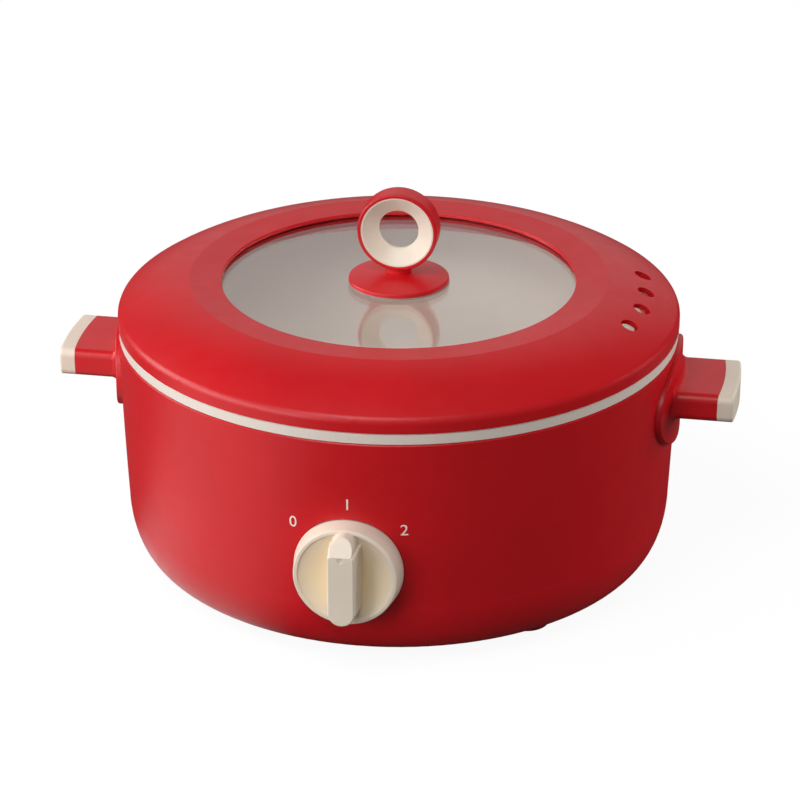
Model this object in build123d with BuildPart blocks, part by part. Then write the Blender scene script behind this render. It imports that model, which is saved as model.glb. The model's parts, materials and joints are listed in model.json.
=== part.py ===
from build123d import *
from math import atan2, cos, degrees, hypot, pi, radians, sin, sqrt, tan
import os

# Electric hot pot with a lift-off glass lid.
# Millimetres, +Z up.  The control dial faces -Y, the side handles are on +X and -X, and
# the power inlet is on +Y.  Every piece is drawn round the pot's axis, which is the Z axis
# here.  `save` then moves it back by `frame_shift`, so that the origin of the files is on
# the table under the middle of the whole outline, dial included.

os.makedirs("parts", exist_ok=True)

# ---------------------------------------------------------------- driving sizes
outer_radius = 140.0        # lid edge and top of the outer shell
shell_height = 114.0        # outer shell, bottom edge to top edge
foot_stand = 7.0            # table to the bottom edge of the outer shell
fit_gap = 0.3               # loose assembly gap between pieces of one body
running_gap = 0.05          # radial gap of the turning shaft
thread_gap = 0.05           # screw shank to its hole
drop_gap = 0.4              # shadow line between lid, pot rim and shell

# outer shell
shell_wall = 2.8
shell_taper = 2.4           # how much the shell narrows towards its base round
flank_bulge = 0.35          # how far the flank stands out from a straight cone
base_round_width = 13.8
base_round_height = 29.0
ledge_thickness = 2.0
ledge_width = 6.4
shell_top_chamfer = 0.5

# base cover and feet
cover_thickness = 2.5
cover_inset = 1.0
foot_inset = 15.8           # foot centres to the shell's bottom edge
foot_radius = 12.0
foot_draft = 4.0
foot_pad_radius = 9.5
foot_pad_thickness = 2.0
foot_pad_sink = 0.8
foot_pad_chamfer = 0.5
vent_length = 22.0
vent_width = 3.0
vent_count = 12

# screws that hold the pot, the shell and the base cover together
boss_circle = 60.0
boss_radius = 6.0
boss_count = 4
base_screw_radius = 2.0
base_screw_head_radius = 3.8
base_screw_head_height = 2.5
base_screw_sink = 4.0       # screw seat above the cover's underside
screw_slot_depth = 1.4

# inner pot
pot_wall = 2.5
mouth_inset = 12.5          # inside of the pot's mouth to the lid edge
pot_taper = 17.5            # how much the pot narrows towards its floor
pot_floor_round = 24.0
pot_floor_height = 45.0
rim_inset = 0.4             # rim edge to the lid edge
rim_height = 5.5
rim_plate = 2.5
rim_chamfer = 0.5
mouth_round = 1.5
centring_lip_drop = 3.5
centring_lip_width = 2.5
centring_lip_play = 0.5     # lip to the inside of the outer shell
rim_undercut = 1.3

# heating plate under the pot's floor, and the heater tube cast into it
plate_thickness = 3.0
heater_inset = 22.0         # heater circle to the pot's floor corner
heater_tube_radius = 4.0
heater_cast_width = 14.0
heater_gap_angle = 34.0
heater_bend = 10.0
heater_tail_bottom = 19.0
terminal_radius = 1.5
terminal_length = 7.0
shield_thickness = 0.8
shield_height = 26.2
shield_overhang = 24.0      # shield edge beyond the heater circle
shield_lip = 5.0
shield_hole_radius = 24.0
shield_notch_width = 74.0
shield_notch_depth = 54.0

# thermostat and thermal fuse
sensor_radius = 9.0
sensor_thickness = 5.5
sensor_body_radius = 7.5
sensor_body_height = 8.0
tab_width = 6.3
tab_thickness = 0.8
tab_length = 7.0
sensor_tab_spread = 4.5
strap_thickness = 1.0
strap_width = 10.0
strap_screw_reach = 18.0
pillar_radius = 3.5
sensor_screw_radius = 1.5
sensor_screw_head_radius = 2.8
sensor_screw_head_height = 2.0
sensor_screw_length = 5.0
fuse_radius = 2.6
fuse_length = 34.0
fuse_lead_radius = 0.7
fuse_lead_length = 9.0
fuse_place = 40.0
clip_thickness = 0.8
clip_width = 9.0
clip_reach = 8.0            # fuse to the screw of its clip

# side handles
handle_drop = 23.5          # middle of the grips below the shell's top
grip_half_width = 24.4
grip_thickness = 14.3
grip_edge_round = 4.0
grip_length = 23.9          # red part of the grip, from the lid edge
cap_length = 7.6
cap_edge_round = 1.2
plate_rise = 2.2
plate_half_width = 41.0
plate_half_height = 24.0
plate_drop = 1.0
plate_edge_round = 1.0
root_round = 3.5
handle_screw_spread = 14.0
handle_screw_radius = 2.0
handle_screw_length = 15.0
handle_screw_head_height = 2.4
handle_boss_radius = 5.0
handle_boss_height = 3.2
tongue_half_width = 15.0
tongue_thickness = 6.0
tongue_depth = 8.0

# control dial and rotary switch
dial_height = 55.0
dial_base_radius = 26.3
dial_skirt_draft = 1.6      # how much the skirt narrows towards the rim
dial_skirt_depth = 9.7
dial_rim_width = 1.8
dial_rim_step = 0.7
dial_rim_round = 0.8
dial_dish_depth = 4.0
dial_dish_crown = 0.9
dial_wall = 2.0
dial_gap = 0.3              # back of the dial to the floor of its recess
dial_recess_inset = 3.0     # floor of the recess to the lid edge
dial_recess_play = 0.6
switch_wall = 3.5           # shell between the recess and the switch
switch_pad_width = 40.0
switch_pad_height = 30.0
pad_corner = 4.0
grip_bar_rise = 20.7        # front of the dial's grip bar above its back plane
grip_bar_base_width = 15.9
grip_bar_draft = 6.0
grip_bar_short = 3.0        # lower end of the bar inside the rim
grip_bar_long = 0.2         # upper end of the bar inside the rim
grip_bar_round = 0.8
nose_length = 8.5
nose_shoulder = 1.3         # how much narrower the nose is on each side
nose_rise = 2.2             # tip of the nose above the rim
shoulder_corner = 1.2       # round corners where the bar meets its nose
dimple_radius = 1.4
dimple_depth = 0.35
dimple_place = 1.6          # dimple below the start of the nose
shaft_radius = 3.0
shaft_flat = 2.3
shaft_depth = 10.0          # inner end of the shaft behind the pad
hub_wall = 2.5
bar_wall = 9.0              # end of the shaft below the front of the bar
switch_width = 24.0
switch_depth = 13.0
switch_ear_width = 36.0
switch_ear_height = 9.0
switch_ear_thickness = 2.4
switch_tab_spread = 8.0
switch_screw_spread = 14.5
switch_screw_radius = 1.5
switch_screw_head_radius = 2.8
switch_screw_head_height = 2.0

# power inlet
inlet_height = 36.0
inlet_recess_inset = 3.7    # seat of the flange to the lid edge
inlet_wall = 3.0
inlet_flange_width = 48.0
inlet_flange_height = 25.0
inlet_flange_thickness = 2.2
inlet_flange_corner = 5.0
inlet_flange_round = 0.7
inlet_body_width = 28.0
inlet_body_height = 20.4
inlet_body_depth = 20.0
socket_width = 24.2
socket_height = 16.2
socket_depth = 17.0
socket_key = 5.5
pin_width = 2.0
pin_height = 4.0
pin_length = 13.0
pin_spread = 7.0
pin_stagger = 2.0
pin_tail = 7.0
inlet_screw_spread = 20.0
inlet_screw_radius = 1.5
inlet_screw_head_radius = 2.6
inlet_screw_head_height = 1.8

# lid
lid_wall = 2.6
dome_width = 36.0           # lid edge to the crease
border_width = 15.9         # crease to the opening of the glass
crease_height = 21.15       # above the lid's lower edge
crease_dip = 1.0            # how far the flat border falls towards the glass
shoulder_height = 6.6
shoulder_round = 4.5
dome_round = 82.6
border_lip = 1.8
seat_rib_inset = 6.8
lid_play = 1.5              # locating rib to the pot's mouth
rib_width = 2.2
locating_rib_drop = 6.0
steam_hole_radius = 4.5
steam_hole_inset = 17.2     # steam holes to the lid edge
steam_hole_step = 10.0
steam_hole_count = 4

glass_overlap = 10.4        # glass edge beyond the opening
glass_thickness = 4.0
glass_chamfer = 0.5
gasket_leg = 0.6
gasket_web = 2.1
gasket_grip = 4.0
retainer_inset = 1.9        # inside of the retainer beyond the opening
retainer_width = 22.0
retainer_thickness = 2.5
retainer_chamfer = 0.8
retainer_screw_count = 6
retainer_screw_radius = 1.5
retainer_screw_head_radius = 2.8
retainer_screw_head_height = 1.8
retainer_screw_depth = 4.5
retainer_boss_radius = 3.6

# lid knob
knob_disc_radius = 25.0
knob_disc_edge = 2.0
knob_disc_crown = 4.4
knob_disc_round = 0.9
knob_gasket_thickness = 0.8
knob_ring_radius = 20.0
knob_ring_half_depth = 6.0
knob_ring_clearance = 7.73  # lowest point of the ring above the glass
knob_ring_wall = 1.8
knob_ring_round = 0.8
knob_neck_width = 6.5
knob_neck_depth = 5.0
funnel_throat_radius = 10.0
funnel_lip = 0.8
funnel_sink = 0.2
locating_web = 1.0
web_height = 3.2
knob_screw_radius = 2.4
knob_screw_head_height = 2.6
knob_boss_hole_radius = 4.2
washer_radius = 10.0
washer_thickness = 1.0

# ---------------------------------------------------------------- derived places
shell_bottom = foot_stand
shell_top = foot_stand + shell_height
round_top = shell_bottom + base_round_height
flank_foot_radius = outer_radius - shell_taper
base_edge_radius = flank_foot_radius - base_round_width
cover_bottom = shell_bottom + cover_inset
cover_top = cover_bottom + cover_thickness
ledge_top = cover_top + ledge_thickness
cover_opening_radius = base_edge_radius - shell_wall + 0.4
cover_radius = cover_opening_radius - fit_gap
foot_circle = base_edge_radius - foot_inset
foot_bottom = foot_pad_thickness - foot_pad_sink
base_screw_seat = cover_bottom + base_screw_sink

rim_top = shell_top + rim_height
rim_radius = outer_radius - rim_inset
pot_mouth_radius = outer_radius - mouth_inset
pot_corner_radius = pot_mouth_radius - pot_taper
pot_underside = pot_floor_height - pot_wall
lip_radius = outer_radius - shell_wall - centring_lip_play
bead_radius = lip_radius - centring_lip_width
wall_slope = pot_taper / (shell_top - pot_floor_height)
boss_bottom = shield_height + shield_thickness
heater_circle = pot_corner_radius - heater_inset
heating_plate_radius = heater_circle + heater_cast_width / 2
plate_underside = pot_underside - plate_thickness
heater_z = plate_underside - heater_tube_radius - 1
shield_radius = heater_circle + shield_overhang
vent_circle = (boss_circle + foot_circle) / 2 - 2
strap_top = plate_underside - sensor_thickness
fuse_z = plate_underside - fuse_radius
clip_top = plate_underside - 2 * fuse_radius

handle_height = shell_top - handle_drop
plate_height = handle_height - plate_drop
grip_reach = outer_radius + grip_length
cap_reach = grip_reach + cap_length
handle_boss_stand = outer_radius - shell_wall - handle_boss_height

dial_recess_stand = outer_radius - dial_recess_inset
dial_stand = dial_recess_stand + dial_gap
dial_rim_radius = dial_base_radius - dial_skirt_draft
switch_pad_stand = dial_recess_stand - switch_wall
switch_back = switch_pad_stand - switch_depth
switch_screw_seat = dial_recess_stand - switch_screw_head_height - 0.2
rim_front = dial_stand + dial_skirt_depth
dish_floor = rim_front - dial_dish_depth
bar_front = dial_stand + grip_bar_rise
grip_bar_low = dial_rim_radius - grip_bar_short
grip_bar_high = dial_rim_radius - grip_bar_long
nose_start = grip_bar_high - nose_length
shaft_inner_end = switch_pad_stand - shaft_depth
shaft_outer_end = bar_front - bar_wall

inlet_recess_stand = outer_radius - inlet_recess_inset
inlet_pad_stand = inlet_recess_stand - inlet_wall
inlet_face = inlet_recess_stand + inlet_flange_thickness
socket_floor = inlet_face - socket_depth
inlet_back = inlet_face - inlet_body_depth
frame_shift = (bar_front - inlet_face - inlet_screw_head_height) / 2

lid_bottom = rim_top + drop_gap
crease_radius = outer_radius - dome_width
opening_radius = crease_radius - border_width
crease_top = lid_bottom + crease_height
opening_top = crease_top - crease_dip
shoulder_top = lid_bottom + shoulder_height
seat_rib_radius = outer_radius - seat_rib_inset
locating_rib_radius = pot_mouth_radius - lid_play
steam_hole_circle = outer_radius - steam_hole_inset
glass_radius = opening_radius + glass_overlap
glass_top = opening_top - border_lip - gasket_leg
glass_bottom = glass_top - glass_thickness
pocket_radius = glass_radius + gasket_web + fit_gap
retainer_top = glass_bottom - gasket_leg
retainer_bottom = retainer_top - retainer_thickness
retainer_inner_radius = opening_radius + retainer_inset
retainer_outer_radius = retainer_inner_radius + retainer_width
retainer_screw_circle = retainer_outer_radius - 4

disc_bottom = glass_top + knob_gasket_thickness
ring_centre = glass_top + knob_ring_clearance + knob_ring_radius
ring_bore = knob_ring_radius - knob_ring_wall
funnel_mouth_radius = ring_bore - funnel_lip
neck_top = ring_centre - (ring_bore + knob_ring_radius) / 2 + 0.5
knob_screw_face = glass_bottom - knob_gasket_thickness - washer_thickness

# centre of the dome's round, which runs from the crease to the shoulder
chord_r = outer_radius - crease_radius
chord_z = shoulder_top - crease_top
chord = hypot(chord_r, chord_z)
sagitta_leg = sqrt(dome_round**2 - (chord / 2) ** 2)
dome_centre_r = (crease_radius + outer_radius) / 2 + chord_z / chord * sagitta_leg
dome_centre_z = (crease_top + shoulder_top) / 2 - chord_r / chord * sagitta_leg


def dome_z(radius, inset=0.0):
    """Height of the lid's dome at a radius, or of the surface `inset` below it."""
    return dome_centre_z + sqrt((dome_round - inset) ** 2 - (radius - dome_centre_r) ** 2)


def save(builder, name):
    """Label a finished piece, move it to the files' origin and write it to its own file."""
    piece = builder.part.moved(Location((0, frame_shift, 0)))
    piece.label = name
    export_step(piece, f"parts/{name}.step")


# ---------------------------------------------------------------- outer shell
def shell_section(inset, bulge):
    """Draw the closed half section of the shell's outside, moved in by `inset`."""
    base = (base_edge_radius, shell_bottom + inset)
    flank_foot = (flank_foot_radius - inset, round_top)
    flank_head = (outer_radius - inset, shell_top)
    flank_middle = (
        (flank_foot[0] + flank_head[0]) / 2 + bulge,
        (round_top + shell_top) / 2,
    )
    Line((0, base[1]), base)
    EllipticalCenterArc(
        (base_edge_radius, round_top),
        base_round_width - inset,
        base_round_height - inset,
        start_angle=270,
        arc_size=90,
    )
    if bulge:
        ThreePointArc(flank_foot, flank_middle, flank_head)
    else:
        Line(flank_foot, flank_head)
    Line(flank_head, (0, shell_top))
    Line((0, shell_top), (0, base[1]))


with BuildPart() as shell_block:
    with BuildSketch(Plane.XZ):
        with BuildLine():
            shell_section(0, flank_bulge)
        make_face()
    revolve(axis=Axis.Z)

with BuildPart() as shell_cavity:
    with BuildSketch(Plane.XZ):
        with BuildLine():
            shell_section(shell_wall, 0)
        make_face()
        with Locations((0, ledge_top)):
            Rectangle(4 * outer_radius, shell_height, align=(Align.CENTER, Align.MAX), mode=Mode.SUBTRACT)
    revolve(axis=Axis.Z)
    # flat pad behind the dial, which carries the rotary switch
    with BuildSketch(Plane.XZ.offset(switch_pad_stand)):
        with Locations((0, dial_height)):
            RectangleRounded(switch_pad_width, switch_pad_height, pad_corner)
    extrude(amount=20, mode=Mode.SUBTRACT)
    # flat pad round the power inlet
    with BuildSketch(Plane.XZ.offset(-inlet_pad_stand)):
        with Locations((0, inlet_height)):
            RectangleRounded(inlet_flange_width + 4, inlet_flange_height + 3, pad_corner)
    extrude(amount=-20, mode=Mode.SUBTRACT)
    # screw bosses of the two handles
    for side in (1, -1):
        with BuildSketch(Plane.YZ.offset(side * handle_boss_stand)):
            with Locations((handle_screw_spread, handle_height), (-handle_screw_spread, handle_height)):
                Circle(handle_boss_radius)
        extrude(amount=side * 20, mode=Mode.SUBTRACT)

with BuildPart() as outer_shell:
    add(shell_block.part)
    add(shell_cavity.part, mode=Mode.SUBTRACT)
    # opening for the base cover, with the ledge that the cover is pulled against
    with BuildSketch(Plane.XY.offset(shell_bottom)):
        Circle(cover_opening_radius)
    extrude(amount=cover_top - shell_bottom, mode=Mode.SUBTRACT)
    with BuildSketch(Plane.XY.offset(shell_bottom)):
        Circle(cover_opening_radius - ledge_width)
    extrude(amount=ledge_top - shell_bottom + 1, mode=Mode.SUBTRACT)
    # round recess in which the dial turns, with its shaft and screw holes
    with BuildSketch(Plane.XZ.offset(dial_recess_stand)):
        with Locations((0, dial_height)):
            Circle(dial_base_radius + dial_recess_play)
    extrude(amount=20, mode=Mode.SUBTRACT)
    with BuildSketch(Plane.XZ.offset(switch_pad_stand - 1)):
        with Locations((0, dial_height)):
            Circle(shaft_radius + 1)
            with Locations((switch_screw_spread, 0), (-switch_screw_spread, 0)):
                Circle(switch_screw_radius + 0.2)
    extrude(amount=20, mode=Mode.SUBTRACT)
    with BuildSketch(Plane.XZ.offset(switch_screw_seat)):
        with Locations((switch_screw_spread, dial_height), (-switch_screw_spread, dial_height)):
            Circle(switch_screw_head_radius + fit_gap)
    extrude(amount=20, mode=Mode.SUBTRACT)
    # flat seat and cut-out of the power inlet
    with BuildSketch(Plane.XZ.offset(-inlet_recess_stand)):
        with Locations((0, inlet_height)):
            RectangleRounded(inlet_flange_width + 1, inlet_flange_height + 1, inlet_flange_corner + 0.5)
    extrude(amount=-20, mode=Mode.SUBTRACT)
    with BuildSketch(Plane.XZ.offset(1 - inlet_pad_stand)):
        with Locations((0, inlet_height)):
            RectangleRounded(inlet_body_width + 2 * fit_gap, inlet_body_height + 2 * fit_gap, 1.5)
            with Locations((inlet_screw_spread, 0), (-inlet_screw_spread, 0)):
                Circle(inlet_screw_radius + 0.2)
    extrude(amount=-20, mode=Mode.SUBTRACT)
    # screw holes of the handles
    with BuildSketch(Plane.YZ.offset(-2 * outer_radius)):
        with Locations((handle_screw_spread, handle_height), (-handle_screw_spread, handle_height)):
            Circle(handle_screw_radius + 0.2)
    extrude(amount=4 * outer_radius, mode=Mode.SUBTRACT)
    top_edges = outer_shell.edges().filter_by(GeomType.CIRCLE).group_by(Axis.Z)[-1]
    chamfer(top_edges.sort_by(SortBy.RADIUS)[-1], shell_top_chamfer)
save(outer_shell, "outer_shell")

# ---------------------------------------------------------------- inner pot
def pot_radius(height):
    """Inside radius of the pot's sloping wall."""
    return pot_corner_radius + wall_slope * (height - pot_floor_height)


with BuildPart() as inner_pot:
    with BuildSketch(Plane.XZ):
        # body of the pot, its bead and the lip that centres it in the shell
        with BuildLine():
            Polyline(
                (0, pot_underside),
                (pot_radius(pot_underside) + pot_wall, pot_underside),
                (pot_mouth_radius + pot_wall, shell_top),
                (pot_mouth_radius + pot_wall, rim_top - rim_plate),
                (bead_radius, rim_top - rim_plate),
                (bead_radius, shell_top - centring_lip_drop),
                (lip_radius, shell_top - centring_lip_drop),
                (lip_radius, shell_top),
                (rim_radius - rim_undercut, shell_top),
                (rim_radius - rim_undercut, shell_top + drop_gap),
                (rim_radius, shell_top + drop_gap),
                (rim_radius, rim_top),
                (0, rim_top),
                close=True,
            )
        make_face()
        # the inside
        with BuildLine():
            Polyline(
                (0, pot_floor_height),
                (pot_corner_radius, pot_floor_height),
                (pot_mouth_radius, shell_top),
                (pot_mouth_radius, rim_top + 1),
                (0, rim_top + 1),
                close=True,
            )
        make_face(mode=Mode.SUBTRACT)
    revolve(axis=Axis.Z)
    circles = inner_pot.edges().filter_by(GeomType.CIRCLE)
    fillet(
        circles.filter_by_position(Axis.Z, pot_floor_height - 0.1, pot_floor_height + 0.1),
        pot_floor_round,
    )
    circles = inner_pot.edges().filter_by(GeomType.CIRCLE)
    fillet(
        circles.filter_by_position(Axis.Z, pot_underside - 0.1, pot_underside + 0.1),
        pot_floor_round + pot_wall,
    )
    rim_edges = inner_pot.edges().filter_by(GeomType.CIRCLE).group_by(Axis.Z)[-1].sort_by(SortBy.RADIUS)
    fillet(rim_edges[0], mouth_round)
    chamfer(rim_edges[-1], rim_chamfer)
save(inner_pot, "inner_pot")

# ---------------------------------------------------------------- heating plate
with BuildPart() as heating_plate:
    with BuildSketch(Plane.XY.offset(plate_underside)):
        Circle(heating_plate_radius)
    extrude(amount=plate_thickness)
    # cast ring that grips the upper half of the heater tube
    with BuildSketch(Plane.XY.offset(plate_underside)):
        Circle(heating_plate_radius)
        Circle(heating_plate_radius - heater_cast_width, mode=Mode.SUBTRACT)
    extrude(amount=-(heater_tube_radius + 1))
    with BuildSketch(Plane.XZ):
        with Locations((heater_circle, heater_z)):
            Circle(heater_tube_radius + 0.1)
    revolve(axis=Axis.Z, mode=Mode.SUBTRACT)
    # pillars for the base screws, and small pillars for the sensor strap and the fuse clip
    with BuildSketch(Plane.XY.offset(boss_bottom)):
        with PolarLocations(boss_circle, boss_count):
            Circle(boss_radius)
    extrude(amount=plate_underside - boss_bottom)
    with BuildSketch(Plane.XY.offset(strap_top)):
        with Locations((strap_screw_reach, 0), (-strap_screw_reach, 0)):
            Circle(pillar_radius)
    extrude(amount=sensor_thickness)
    with BuildSketch(Plane.XY.offset(clip_top)):
        with Locations((0, fuse_place - clip_reach)):
            Circle(pillar_radius)
    extrude(amount=2 * fuse_radius)
    # threaded holes in the pillars
    with BuildSketch(Plane.XY.offset(boss_bottom)):
        with PolarLocations(boss_circle, boss_count):
            Circle(base_screw_radius)
    extrude(amount=plate_underside - boss_bottom - 3, mode=Mode.SUBTRACT)
    with BuildSketch(Plane.XY.offset(strap_top - 1)):
        with Locations((strap_screw_reach, 0), (-strap_screw_reach, 0), (0, fuse_place - clip_reach)):
            Circle(sensor_screw_radius)
    extrude(amount=sensor_thickness + 1.5, mode=Mode.SUBTRACT)
save(heating_plate, "heating_plate")

# ---------------------------------------------------------------- base cover, feet, base screws
with BuildPart() as base_cover:
    with BuildSketch(Plane.XY.offset(cover_bottom)):
        Circle(cover_radius)
        with PolarLocations(vent_circle, vent_count, start_angle=180 / vent_count):
            SlotOverall(vent_length, vent_width, mode=Mode.SUBTRACT)
    extrude(amount=cover_thickness)
    # feet, moulded in one piece with the cover
    with BuildSketch(Plane.XY.offset(cover_bottom)):
        with PolarLocations(foot_circle, 4, start_angle=45):
            Circle(foot_radius)
    extrude(amount=-(cover_bottom - foot_bottom), taper=foot_draft)
    # hollow towers that carry the base screws up to the heat shield
    with BuildSketch(Plane.XY.offset(cover_bottom)):
        with PolarLocations(boss_circle, boss_count):
            Circle(boss_radius)
    extrude(amount=shield_height - cover_bottom)
    with BuildSketch(Plane.XY.offset(cover_bottom)):
        with PolarLocations(boss_circle, boss_count):
            Circle(base_screw_head_radius + fit_gap)
    extrude(amount=base_screw_sink, mode=Mode.SUBTRACT)
    with BuildSketch(Plane.XY.offset(base_screw_seat)):
        with PolarLocations(boss_circle, boss_count):
            Circle(base_screw_radius + 0.2)
    extrude(amount=shield_height - base_screw_seat, mode=Mode.SUBTRACT)
    # sockets of the rubber pads
    with BuildSketch(Plane.XY.offset(foot_bottom)):
        with PolarLocations(foot_circle, 4, start_angle=45):
            Circle(foot_pad_radius)
    extrude(amount=foot_pad_sink, mode=Mode.SUBTRACT)
save(base_cover, "base_cover")

with BuildPart() as foot_pads:
    with BuildSketch(Plane.XY):
        with PolarLocations(foot_circle, 4, start_angle=45):
            Circle(foot_pad_radius - 0.1)
    extrude(amount=foot_pad_thickness)
    chamfer(foot_pads.edges().group_by(Axis.Z)[0], foot_pad_chamfer)
save(foot_pads, "foot_pads")

with BuildPart() as base_screws:
    with BuildSketch(Plane.XY.offset(base_screw_seat)):
        with PolarLocations(boss_circle, boss_count):
            Circle(base_screw_head_radius)
    extrude(amount=-base_screw_head_height)
    with BuildSketch(Plane.XY.offset(base_screw_seat - base_screw_head_height)):
        with PolarLocations(boss_circle, boss_count):
            Rectangle(4.6, 1.0)
            Rectangle(1.0, 4.6)
    extrude(amount=screw_slot_depth, mode=Mode.SUBTRACT)
    with BuildSketch(Plane.XY.offset(base_screw_seat)):
        with PolarLocations(boss_circle, boss_count):
            Circle(base_screw_radius - thread_gap)
    extrude(amount=plate_underside - 4 - base_screw_seat)
save(base_screws, "base_screws")

# ---------------------------------------------------------------- heater
heater_start = 270 + heater_gap_angle / 2
heater_sweep = 360 - heater_gap_angle


def heater_tail(end_angle, turn):
    """Bend and tail that lead one end of the heater ring down; `turn` is +1 or -1."""
    radial = Vector(cos(radians(end_angle)), sin(radians(end_angle)), 0)
    along = Vector(-radial.Y, radial.X, 0) * turn
    start = radial * heater_circle + Vector(0, 0, heater_z)
    middle = start + along * (heater_bend * sin(pi / 4)) - Vector(0, 0, heater_bend * (1 - cos(pi / 4)))
    low = start + along * heater_bend - Vector(0, 0, heater_bend)
    bottom = Vector(low.X, low.Y, heater_tail_bottom)
    ThreePointArc(start, middle, low)
    Line(low, bottom)
    return start, along, bottom


with BuildPart() as heating_element:
    with BuildLine() as first_tail:
        first_end, first_way, first_bottom = heater_tail(heater_start, -1)
    with BuildSketch(Plane(origin=first_end, z_dir=first_way)):
        Circle(heater_tube_radius)
    sweep(path=first_tail.wires()[0])
    with BuildLine() as last_tail:
        last_end, last_way, last_bottom = heater_tail(heater_start + heater_sweep, 1)
    with BuildSketch(Plane(origin=last_end, z_dir=last_way)):
        Circle(heater_tube_radius)
    sweep(path=last_tail.wires()[0])
    with BuildSketch(Plane(origin=first_end, z_dir=first_way)):
        Circle(heater_tube_radius)
    revolve(axis=Axis.Z, revolution_arc=heater_sweep)
    # cold pins
    with BuildSketch(Plane.XY.offset(heater_tail_bottom)):
        with Locations((first_bottom.X, first_bottom.Y), (last_bottom.X, last_bottom.Y)):
            Circle(terminal_radius)
    extrude(amount=-terminal_length)
save(heating_element, "heating_element")

with BuildPart() as heat_shield:
    with BuildSketch(Plane.XY.offset(shield_height)):
        Circle(shield_radius)
        Circle(shield_hole_radius, mode=Mode.SUBTRACT)
        with PolarLocations(boss_circle, boss_count):
            Circle(base_screw_radius + 0.4, mode=Mode.SUBTRACT)
        # notch for the heater's tails
        with Locations((0, -shield_radius)):
            Rectangle(shield_notch_width, 2 * shield_notch_depth, mode=Mode.SUBTRACT)
    extrude(amount=shield_thickness)
    # turned-down edge
    with BuildSketch(Plane.XY.offset(shield_height)):
        Circle(shield_radius)
        Circle(shield_radius - shield_thickness, mode=Mode.SUBTRACT)
        with Locations((0, -shield_radius)):
            Rectangle(shield_notch_width, 2 * shield_notch_depth, mode=Mode.SUBTRACT)
    extrude(amount=-shield_lip)
save(heat_shield, "heat_shield")

# ---------------------------------------------------------------- thermostat and fuse
with BuildPart() as thermostat:
    with BuildSketch(Plane.XY.offset(plate_underside)):
        Circle(sensor_radius)
    extrude(amount=-sensor_thickness)
    with BuildSketch(Plane.XY.offset(strap_top)):
        Circle(sensor_body_radius)
    extrude(amount=-sensor_body_height)
    with BuildSketch(Plane.XY.offset(strap_top - sensor_body_height)):
        with Locations((0, sensor_tab_spread), (0, -sensor_tab_spread)):
            Rectangle(tab_width, tab_thickness)
    extrude(amount=-tab_length)
save(thermostat, "thermostat")

with BuildPart() as thermostat_strap:
    with BuildSketch(Plane.XY.offset(strap_top)):
        SlotOverall(2 * strap_screw_reach + strap_width, strap_width)
        Circle(sensor_body_radius + 3.5)
        Circle(sensor_body_radius + 0.2, mode=Mode.SUBTRACT)
        with Locations((strap_screw_reach, 0), (-strap_screw_reach, 0)):
            Circle(sensor_screw_radius + 0.2, mode=Mode.SUBTRACT)
    extrude(amount=-strap_thickness)
save(thermostat_strap, "thermostat_strap")

with BuildPart() as thermal_fuse:
    with BuildSketch(Plane.YZ.offset(-fuse_length / 2)):
        with Locations((fuse_place, fuse_z)):
            Circle(fuse_radius - 0.05)
    extrude(amount=fuse_length)
    with BuildSketch(Plane.YZ.offset(-fuse_length / 2 - fuse_lead_length)):
        with Locations((fuse_place, fuse_z)):
            Circle(fuse_lead_radius)
    extrude(amount=fuse_length + 2 * fuse_lead_length)
save(thermal_fuse, "thermal_fuse")

with BuildPart() as fuse_clip:
    with BuildSketch(Plane.YZ.offset(-clip_width / 2)):
        with Locations((fuse_place, fuse_z)):
            Circle(fuse_radius + 0.1 + clip_thickness)
        with Locations((fuse_place - clip_reach, clip_top - clip_thickness / 2)):
            Rectangle(2 * clip_reach, clip_thickness)
        with Locations((fuse_place, fuse_z)):
            Circle(fuse_radius + 0.1, mode=Mode.SUBTRACT)
        with Locations((fuse_place, fuse_z + 1)):
            Rectangle(20, 20, align=(Align.CENTER, Align.MIN), mode=Mode.SUBTRACT)
    extrude(amount=clip_width)
    with BuildSketch(Plane.XY.offset(clip_top - 5)):
        with Locations((0, fuse_place - clip_reach)):
            Circle(sensor_screw_radius + 0.2)
    extrude(amount=10, mode=Mode.SUBTRACT)
save(fuse_clip, "fuse_clip")

with BuildPart() as sensor_screws:
    for place, seat in (
        ((strap_screw_reach, 0), strap_top - strap_thickness),
        ((-strap_screw_reach, 0), strap_top - strap_thickness),
        ((0, fuse_place - clip_reach), clip_top - clip_thickness),
    ):
        with BuildSketch(Plane.XY.offset(seat)):
            with Locations(place):
                Circle(sensor_screw_head_radius)
        extrude(amount=-sensor_screw_head_height)
        with BuildSketch(Plane.XY.offset(seat)):
            with Locations(place):
                Circle(sensor_screw_radius - thread_gap)
        extrude(amount=sensor_screw_length)
save(sensor_screws, "sensor_screws")

# ---------------------------------------------------------------- handles
def grip_section(shrink=0.0):
    """Cross-section of a grip, across its reach."""
    with Locations((0, handle_height)):
        RectangleRounded(
            2 * (grip_half_width - shrink),
            grip_thickness - 2 * shrink,
            grip_edge_round - shrink,
        )


with BuildPart() as handle_plate:
    # oval plate, cut to a curved sheet round the shell
    with BuildSketch(Plane.YZ.offset(outer_radius / 2)):
        with Locations((0, plate_height)):
            Ellipse(plate_half_width, plate_half_height)
    extrude(amount=outer_radius)
    with BuildSketch(Plane.XZ):
        with Locations((0, shell_bottom)):
            Rectangle(outer_radius + plate_rise, shell_height + 10, align=(Align.MIN, Align.MIN))
    revolve(axis=Axis.Z, mode=Mode.INTERSECT)
    fillet(handle_plate.edges().group_by(Axis.X)[-1], plate_edge_round)

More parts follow.
